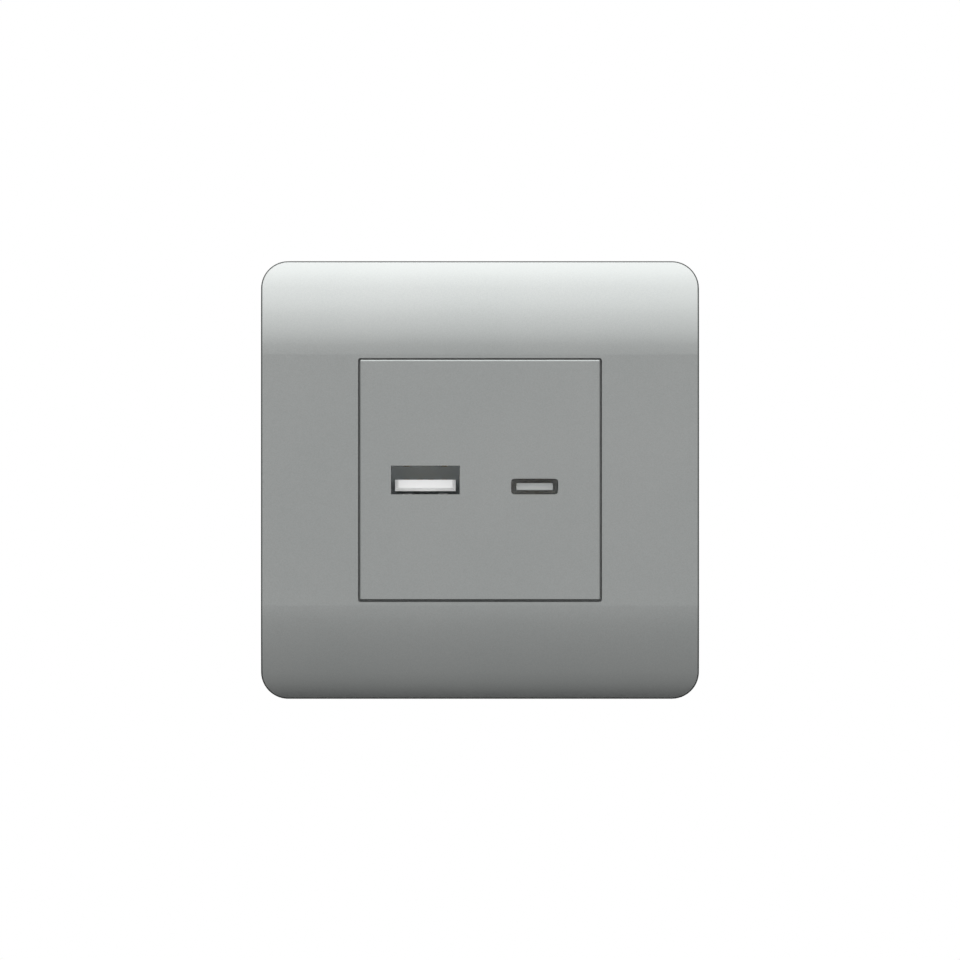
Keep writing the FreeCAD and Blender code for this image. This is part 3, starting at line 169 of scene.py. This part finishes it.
def silver_lacquer(name, edge):
    """Silver lacquer, sprayed on a moulding and baked: a satin sheen from fine aluminium flakes.

    The flakes are about 0.03 mm in a real lacquer and are drawn at four times that, so that they show
    as a faint sparkle. The lacquer's own skin, an orange peel, is very shallow. The bevels, which face
    between front and side, are painted in an edge tone of their own: painted shade where it is darker
    than the coat. The gun sprays from the front, so what faces the wall is the bare grey moulding.
    """
    flake_size = 0.12 * MM
    spray_size = 22 * MM
    peel_size = 1.5 * MM
    peel_depth = 0.002 * MM
    sparkle = 0.07
    coat_metallic = 0.85
    material, tree, place = new_material(name)
    flakes = add(tree, "TexVoronoi", {"Vector": place, "Scale": 1 / flake_size}).outputs["Color"]
    flake = add(tree, "SeparateColor", {"Color": flakes}).outputs["Red"]
    clouds = {"Vector": place, "Scale": 1 / spray_size, "Detail": 2.0}
    spray = add(tree, "TexNoise", clouds).outputs["Fac"]
    waves = {"Vector": place, "Scale": 1 / peel_size, "Detail": 1.0}
    peel = add(tree, "TexNoise", waves).outputs["Fac"]
    sprayed = {FACTOR: spray, FIRST: linear("#8c8f8e"), SECOND: linear("#929493")}
    coat = add(tree, "Mix", sprayed, data_type="RGBA").outputs[RESULT]
    glint = add(tree, "MapRange", {"Value": flake, "To Min": 0.0, "To Max": sparkle}).outputs["Result"]
    flaked = {FACTOR: glint, FIRST: coat, SECOND: linear("#d8dada")}
    full = add(tree, "Mix", flaked, data_type="RGBA").outputs[RESULT]
    # The Y of a face's normal is -1 where it faces the room, 0 on a side and 1 where it faces the wall
    normal = add(tree, "TexCoord").outputs["Normal"]
    facing = add(tree, "SeparateXYZ", {"Vector": normal}).outputs["Y"]
    # Painted shade on the bevels: where a face turns between front and side, its colour goes to the edge
    # tone
    off_front = {"Value": facing, "From Min": -0.80, "From Max": -0.76}
    off_side = {"Value": facing, "From Min": -0.10, "From Max": -0.20}
    between = {
        0: add(tree, "MapRange", off_front).outputs["Result"],
        1: add(tree, "MapRange", off_side).outputs["Result"],
    }
    bevel = add(tree, "Math", between, operation="MULTIPLY").outputs["Value"]
    painted_bevel_tones = {FACTOR: bevel, FIRST: full, SECOND: linear(edge)}
    lacquered = add(tree, "Mix", painted_bevel_tones, data_type="RGBA").outputs[RESULT]
    to_wall = {"Value": facing, "From Min": 0.2, "From Max": 0.4}
    bare = add(tree, "MapRange", to_wall).outputs["Result"]
    moulded = {FACTOR: bare, FIRST: lacquered, SECOND: linear("#7f8281")}
    colour = add(tree, "Mix", moulded, data_type="RGBA").outputs[RESULT]
    metals = {"Value": bare, "To Min": coat_metallic, "To Max": 0.0}
    metallic = add(tree, "MapRange", metals).outputs["Result"]
    gloss = add(tree, "MapRange", {"Value": flake, "To Min": 0.3, "To Max": 0.4}).outputs["Result"]
    relief = add(tree, "Bump", {"Height": peel, "Distance": peel_depth}).outputs["Normal"]
    look = {"Base Color": colour, "Metallic": metallic, "Roughness": gloss, "Normal": relief}
    shader = add(tree, "BsdfPrincipled", look).outputs["BSDF"]
    add(tree, "OutputMaterial", {"Surface": shader})
    return material


def solder_mask():
    """Green solder mask over copper on a glass-fibre board: the areas of copper are raised and paler."""
    weave_size = 0.4 * MM
    weave_depth = 0.01 * MM
    copper_size = 5 * MM
    copper_depth = 0.035 * MM
    material, tree, place = new_material("circuit_board")
    threads = {"Vector": place, "Scale": 1 / weave_size, "Detail": 2.0}
    weave = add(tree, "TexNoise", threads).outputs["Fac"]
    # Areas of copper, parted by narrow straight gaps
    cells = {"Vector": place, "Scale": 1 / copper_size}
    edge = add(tree, "TexVoronoi", cells, distance="MANHATTAN", feature="DISTANCE_TO_EDGE")
    gap = {"Value": edge.outputs["Distance"], "From Min": 0.06, "From Max": 0.08}
    copper = add(tree, "MapRange", gap).outputs["Result"]
    greens = {FACTOR: copper, FIRST: linear("#0d4a27"), SECOND: linear("#1b6b3a")}
    mask = add(tree, "Mix", greens, data_type="RGBA").outputs[RESULT]
    raised = add(tree, "Bump", {"Height": copper, "Distance": copper_depth}).outputs["Normal"]
    woven = {"Height": weave, "Distance": weave_depth, "Normal": raised}
    relief = add(tree, "Bump", woven).outputs["Normal"]
    look = {"Base Color": mask, "Roughness": 0.32, "Normal": relief}
    shader = add(tree, "BsdfPrincipled", look).outputs["BSDF"]
    add(tree, "OutputMaterial", {"Surface": shader})
    return material


def wound_tape():
    """Yellow polyester tape round the winding: each turn lies over the one before and shows as a step."""
    turn_step = 1.2 * MM
    tape_depth = 0.06 * MM
    band_at_scale_one = math.pi / 10  # metres between the bands of a wave node
    material, tree, place = new_material("wound_tape")
    bands = {"Vector": place, "Scale": band_at_scale_one / turn_step, "Distortion": 0.4, "Detail": 1.0}
    turns = add(tree, "TexWave", bands, bands_direction="Z", wave_profile="SAW").outputs["Fac"]
    yellows = {FACTOR: turns, FIRST: linear("#c99a1e"), SECOND: linear("#e6bb3c")}
    tape = add(tree, "Mix", yellows, data_type="RGBA").outputs[RESULT]
    relief = add(tree, "Bump", {"Height": turns, "Distance": tape_depth}).outputs["Normal"]
    look = {"Base Color": tape, "Roughness": 0.3, "Normal": relief}
    shader = add(tree, "BsdfPrincipled", look).outputs["BSDF"]
    add(tree, "OutputMaterial", {"Surface": shader})
    return material


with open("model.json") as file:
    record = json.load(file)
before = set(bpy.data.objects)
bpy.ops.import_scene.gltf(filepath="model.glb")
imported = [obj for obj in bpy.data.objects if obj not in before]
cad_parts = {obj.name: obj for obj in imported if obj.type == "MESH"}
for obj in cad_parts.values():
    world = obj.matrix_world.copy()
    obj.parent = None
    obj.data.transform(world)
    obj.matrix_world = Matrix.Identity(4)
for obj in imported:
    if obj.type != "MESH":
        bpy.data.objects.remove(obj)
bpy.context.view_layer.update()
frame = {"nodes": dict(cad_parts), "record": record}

# Front faces of the ports' bases, each in one piece with its tongue; from there back the colour is
# painted: darker in the USB-A port as painted shade, lighter in the USB-C port as painted light
a_base_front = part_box("usb_a_insulator")[1][1] - A_BASE_DEPTH * MM
c_base_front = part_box("usb_c_insulator")[1][1] - C_BASE_DEPTH * MM

# Finishes by the frame's material slots
finishes = {
    # Sprayed and baked, satin, from the photograph
    "silver_lacquer": silver_lacquer("silver_lacquer", "#929594"),
    # Glass-filled polyamide, moulded in an eroded tool: matt and faintly clouded by its fibres
    "frame_polyamide": surface(
        "frame_polyamide", "#bcbebd", "#b0b3b2", roughness=0.55, cloud=6, grain=0.35, depth=0.012
    ),
    # Black polycarbonate, moulded in a fine eroded tool: an even dark grey where light skims it
    "housing_polycarbonate": surface(
        "housing_polycarbonate", "#2a2b2d", "#222325", roughness=0.42, cloud=9, grain=0.3, depth=0.01
    ),
    # Polyamide that stands a glowing wire: grey, with a dull gloss
    "terminal_polyamide": surface(
        "terminal_polyamide", "#5f6264", "#55585a", roughness=0.48, cloud=4, grain=0.3, depth=0.01
    ),
    # Nickel on drawn steel sheet: its streaks run into the port
    "nickel_steel": surface(
        "nickel_steel", "#e9eae9", "#dadbda", roughness=0.2, cloud=1.2, grain=0.25, depth=0.003,
        metallic=1.0, stretch=(1, 0.15, 1),
    ),
    # Clear zinc on turned steel: bluish and soft
    "zinc_steel": surface(
        "zinc_steel", "#c9ccd0", "#aeb3ba", roughness=0.33, cloud=0.8, grain=0.2, depth=0.004,
        metallic=1.0,
    ),
    # Tin on copper strip: nearly white, with flow marks
    "tinned_copper": surface(
        "tinned_copper", "#d2d3cf", "#b8b9b6", roughness=0.36, cloud=0.9, grain=0.3, depth=0.005,
        metallic=1.0,
    ),
    # Gold flash on the spring contacts: smooth, and warm in the dark of the port
    "gold_contact": surface(
        "gold_contact", "#e6c067", "#cfa44c", roughness=0.25, cloud=0.6, grain=0.2, depth=0.002,
        metallic=1.0,
    ),
    # Liquid-crystal polymer, white: an even matt; its base, deep in the port, is painted grey as painted
    # shade
    "white_insulator": surface(
        "white_insulator", "#fdfdfd", "#fafafa", roughness=0.5, cloud=3, grain=0.25, depth=0.004,
        painted_depth_shading=(a_base_front, "#c0c7ca"),
    ),
    # Liquid-crystal polymer, grey: an even matt; its base, deep in the port, is painted white as painted
    # light
    "grey_insulator": surface(
        "grey_insulator", "#cacdcc", "#c1c4c3", roughness=0.5, cloud=2, grain=0.2, depth=0.004,
        painted_depth_shading=(c_base_front, "#f6f7f6"),
    ),
    # Epoxy moulding of the chips, the fuse and the header: charcoal with a fine grit
    "black_moulding": surface(
        "black_moulding", "#2b2c2e", "#1f2022", roughness=0.55, cloud=1.5, grain=0.15, depth=0.008
    ),
    "circuit_board": solder_mask(),
    # Sintered ferrite: dark, with pores that break up the light
    "ferrite": surface(
        "ferrite", "#3d3b3d", "#2e2c2f", roughness=0.62, cloud=1.0, grain=0.25, depth=0.03
    ),
    "wound_tape": wound_tape(),
    # Shrunk sleeve of the capacitors: glossy and tight, with slight ripples
    "can_sleeve": surface(
        "can_sleeve", "#1d2a44", "#16213a", roughness=0.25, cloud=3, grain=0.8, depth=0.01
    ),
    # Polypropylene box of the film capacitor: yellow and waxy
    "film_box": surface(
        "film_box", "#d8b23a", "#cda52f", roughness=0.45, cloud=4, grain=0.4, depth=0.01
    ),
    # Epoxy dip of the disc parts: blue, uneven and glossy
    "disc_dip": surface(
        "disc_dip", "#2f62a8", "#275694", roughness=0.3, cloud=1.8, grain=0.9, depth=0.06
    ),
    # Nylon of the pillars: milky
    "spacer_nylon": surface(
        "spacer_nylon", "#ecebe4", "#dfded6", roughness=0.45, cloud=3, grain=0.3, depth=0.006
    ),
}

for entry in frame["record"]["subparts"]:
    mesh = frame["nodes"][entry["node"]].data
    mesh.materials.clear()
    mesh.materials.append(finishes[entry["material_slot"]])

# White ink, rolled on the raised letters: matt, thin and a little uneven
white_ink = surface(
    "white_ink", "#e4e5e3", "#cfd1d0", roughness=0.6, cloud=0.9, grain=0.15, depth=0.01
)

# Painted shade on the terminal screws: below the top of the head, and so in the slot, the zinc is painted
# dark, so that only the top of the head is bright
for pole in POLES:
    head_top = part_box(f"{pole}_terminal_screw")[1][1]
    slot_shaded_zinc = surface(
        f"zinc_{pole}_screw", "#5d6064", "#505358", roughness=0.36, cloud=0.8, grain=0.2, depth=0.004,
        metallic=1.0, painted_depth_shading=(head_top - UNSHADED_DEPTH * MM, "#c4c7cb"),
    )
    frame["nodes"][f"{pole}_terminal_screw"].data.materials[0] = slot_shaded_zinc

# Painted shade on the plate's bevel: a dark edge tone stands in for the dark that the bevel reflects
painted_bevel_shade = silver_lacquer("silver_lacquer_thin_at_edge", "#4c4f4e")
frame["nodes"]["cover_plate"].data.materials[0] = painted_bevel_shade


def new_piece(name, mesh, slot):
    """A piece of the scene with the finish of one slot, riding on the module."""
    piece = bpy.data.objects.new(name, mesh)
    bpy.context.scene.collection.objects.link(piece)
    mesh.materials.clear()
    mesh.materials.append(finishes[slot])
    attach(piece, "module")
    return piece


def thread_radius(depth, angle):
    """Radius of the screw's thread at a depth under the head and an angle: a helix of V-shaped ridges."""
    turn = (depth / SCREW_PITCH - angle / math.tau) % 1
    ridge = 1 - abs(2 * turn - 1)
    point = min(1, (SCREW_LENGTH - depth) / SCREW_POINT)
    return (SCREW_ROOT_RADIUS + (SCREW_CREST_RADIUS - SCREW_ROOT_RADIUS) * ridge) * point


def screw_rings():
    """Rings of the closing screw from the top of its head to its point: each a depth and its radii."""
    rings = []
    for height, width in HEAD_PROFILE:
        rings.append((-height * SCREW_HEAD_HEIGHT, [width * SCREW_HEAD_RADIUS] * SCREW_SIDES))
    angles = [side * math.tau / SCREW_SIDES for side in range(SCREW_SIDES)]
    for step in range(round(SCREW_LENGTH / SCREW_PITCH * RINGS_PER_TURN)):
        depth = step * SCREW_PITCH / RINGS_PER_TURN
        rings.append((depth, [thread_radius(depth, angle) for angle in angles]))
    return rings


def screw_mesh():
    """Pan-head screw for plastics along Y, in mm, with its shoulder at the origin and its point at -Y."""
    screw = bmesh.new()
    rings = []
    for depth, radii in screw_rings():
        ring = []
        for side, radius in enumerate(radii):
            angle = side * math.tau / SCREW_SIDES
            ring.append(screw.verts.new((radius * math.cos(angle), -depth, radius * math.sin(angle))))
        rings.append(ring)
    for upper, lower in zip(rings, rings[1:]):
        for side in range(SCREW_SIDES):
            after = (side + 1) % SCREW_SIDES
            screw.faces.new((upper[side], upper[after], lower[after], lower[side]))
    screw.faces.new(reversed(rings[0]))
    screw.faces.new(rings[-1])
    bmesh.ops.recalc_face_normals(screw, faces=screw.faces)
    mesh = bpy.data.meshes.new("closing_screw")
    screw.to_mesh(mesh)
    screw.free()
    return mesh


def cross_recess():
    """Cutter of the cross recess, in mm, with the top of the head at its middle."""
    cutter = bmesh.new()
    for turn in (0, math.pi / 2):
        blade = bmesh.ops.create_cube(cutter, size=1)["verts"]
        for vert in blade:
            low = vert.co.y < 0
            vert.co.x *= 2 * RECESS_REACH * (RECESS_SHORTENING if low else 1)
            vert.co.y *= 2 * RECESS_DEPTH
            vert.co.z *= RECESS_WIDTH * (RECESS_NARROWING if low else 1)
        bmesh.ops.rotate(cutter, verts=blade, matrix=Matrix.Rotation(turn, 3, "Y"))
    return cutter


def cut(mesh, cutter, place):
    """New mesh in metres: a mesh in mm with a cutter's form taken out of it at one place."""
    cutter_mesh = bpy.data.meshes.new("cutter")
    cutter.to_mesh(cutter_mesh)
    cutter.free()
    body = bpy.data.objects.new("body", mesh)
    tool = bpy.data.objects.new("tool", cutter_mesh)
    tool.location = place
    for item in (body, tool):
        bpy.context.scene.collection.objects.link(item)
    trim = body.modifiers.new("recess", "BOOLEAN")
    trim.solver = "EXACT"
    trim.use_self = True
    trim.object = tool
    shaped = bpy.data.meshes.new_from_object(body.evaluated_get(bpy.context.evaluated_depsgraph_get()))
    for item in (body, tool):
        bpy.data.objects.remove(item)
    shaped.transform(Matrix.Scale(MM, 4))
    return shaped


def pole_mark(name, letter, x):
    """Raised letter on the back of the housing, above one pole and rolled over with white ink."""
    block_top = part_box("terminal_block")[1][2]
    housing_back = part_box("rear_housing")[1][1]
    text = bpy.data.curves.new(name, "FONT")
    text.body = letter
    text.align_x = "CENTER"
    text.size = MARK_HEIGHT / CAPITAL_SHARE * MM
    text.extrude = (MARK_RELIEF + MARK_SUNK) / 2 * MM
    text.bevel_depth = MARK_ROUNDING * MM
    piece = bpy.data.objects.new(name, text)
    depth = housing_back + (MARK_RELIEF - MARK_SUNK) / 2 * MM
    piece.location = (x, depth, block_top + MARK_GAP * MM)
    piece.rotation_euler = (math.radians(90), 0, math.radians(180))
    bpy.context.scene.collection.objects.link(piece)
    text.materials.append(white_ink)
    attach(piece, "module")


screw = cut(screw_mesh(), cross_recess(), (0, SCREW_HEAD_HEIGHT, 0))
screw.polygons.foreach_set("use_smooth", [False] * len(screw.polygons))
for number, side in enumerate((1, -1), 1):
    piece = new_piece(f"closing_screw_{number}", screw, "zinc_steel")
    piece.location = (side * SCREW_PLACE * MM, SCREW_SHOULDER * MM, side * SCREW_PLACE * MM)

for pole, letter in POLES.items():
    low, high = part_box(f"{pole}_terminal_screw")
    pole_mark(f"{pole}_mark", letter, (low[0] + high[0]) / 2)

camera = bpy.data.objects.new("camera", bpy.data.cameras.new("camera"))
camera.data.lens = LENS
camera.data.sensor_width = SENSOR
camera.data.clip_start = 0.1
camera.data.clip_end = 20
camera.location = (0, (EDGE_PLANE - SEEN_WIDTH * LENS / SENSOR) * MM, 0)
camera.rotation_euler = (math.radians(90), 0, 0)
bpy.context.scene.collection.objects.link(camera)
bpy.context.scene.camera = camera


def pale_floor():
    """Pale matt paint of the floor, clear from below, so that the wire entries can be looked at."""
    material, tree, place = new_material("pale_floor")
    speck = add(tree, "TexNoise", {"Vector": place, "Scale": 3.0}).outputs["Fac"]
    pales = {FACTOR: speck, FIRST: linear("#bababa"), SECOND: linear("#c1c1c1")}
    pale = add(tree, "Mix", pales, data_type="RGBA").outputs[RESULT]
    paint = add(tree, "BsdfPrincipled", {"Base Color": pale, "Roughness": 0.9}).outputs["BSDF"]
    under = add(tree, "NewGeometry").outputs["Backfacing"]
    clear = add(tree, "BsdfTransparent").outputs["BSDF"]
    one_sided = add(tree, "MixShader", {0: under, 1: paint, 2: clear}).outputs["Shader"]
    add(tree, "OutputMaterial", {"Surface": one_sided})
    return material


def level_sheet(name, size, place, material):
    """Level sheet of the stage with its middle at a place."""
    mesh = bpy.data.meshes.new(name)
    builder = bmesh.new()
    spread = Matrix.Diagonal((*size, 1, 1))
    bmesh.ops.create_grid(builder, x_segments=1, y_segments=1, size=0.5, matrix=spread)
    builder.to_mesh(mesh)
    builder.free()
    mesh.materials.append(material)
    sheet = bpy.data.objects.new(name, mesh)
    sheet.location = place
    bpy.context.scene.collection.objects.link(sheet)
    return sheet


def studio_world():
    """White world, which lights the object less than it shows."""
    world = bpy.data.worlds.new("studio")
    world.use_nodes = True
    tree = world.node_tree
    tree.nodes.clear()
    ray = add(tree, "LightPath").outputs
    straight = {0: ray["Is Camera Ray"], 1: ray["Is Glossy Ray"]}
    seen = add(tree, "Math", straight, operation="MAXIMUM").outputs["Value"]
    through = {0: seen, 1: ray["Is Transmission Ray"]}
    shown = add(tree, "Math", through, operation="MAXIMUM").outputs["Value"]
    dim = add(tree, "Background", {"Color": (1, 1, 1, 1), "Strength": 0.55}).outputs["Background"]
    white = add(tree, "Background", {"Color": (1, 1, 1, 1), "Strength": 1.0}).outputs["Background"]
    both = add(tree, "MixShader", {0: shown, 1: dim, 2: white}).outputs["Shader"]
    add(tree, "OutputWorld", {"Surface": both})
    return world


def softbox(name, low, high, radiance):
    """Area light in front that fills the elevations from low to high, seen from the object, in degrees."""
    middle = math.radians((low + high) / 2)
    light = bpy.data.lights.new(name, "AREA")
    light.shape = "RECTANGLE"
    light.size = SOFTBOX_WIDTH
    light.size_y = 2 * SOFTBOX_DISTANCE * math.tan(math.radians((high - low) / 2))
    light.energy = radiance * math.pi * light.size * light.size_y
    lamp = bpy.data.objects.new(name, light)
    lamp.location = (0, -SOFTBOX_DISTANCE * math.cos(middle), SOFTBOX_DISTANCE * math.sin(middle))
    lamp.rotation_euler = (-lamp.location).to_track_quat("-Z", "Y").to_euler()
    bpy.context.scene.collection.objects.link(lamp)


level_sheet("floor", FLOOR_SIZE, FLOOR_PLACE, pale_floor())

# Matt black card, which only reflections show: painted shade in the lower bow's reflection
card_paint = surface("reflected_shade_card", "#121212", "#0f0f0f", roughness=0.9, cloud=20, grain=1, depth=0.01)
card = level_sheet("reflected_shade_card", CARD_SIZE, CARD_PLACE, card_paint)
card.visible_camera = False
card.visible_diffuse = False
card.visible_shadow = False

bpy.context.scene.world = studio_world()
softbox("front_softbox", low=12, high=38, radiance=0.95)
softbox("high_softbox", low=36, high=60, radiance=1.6)
softbox("overhead_softbox", low=60, high=90, radiance=2.85)
bpy.context.scene.view_settings.view_transform = "Standard"
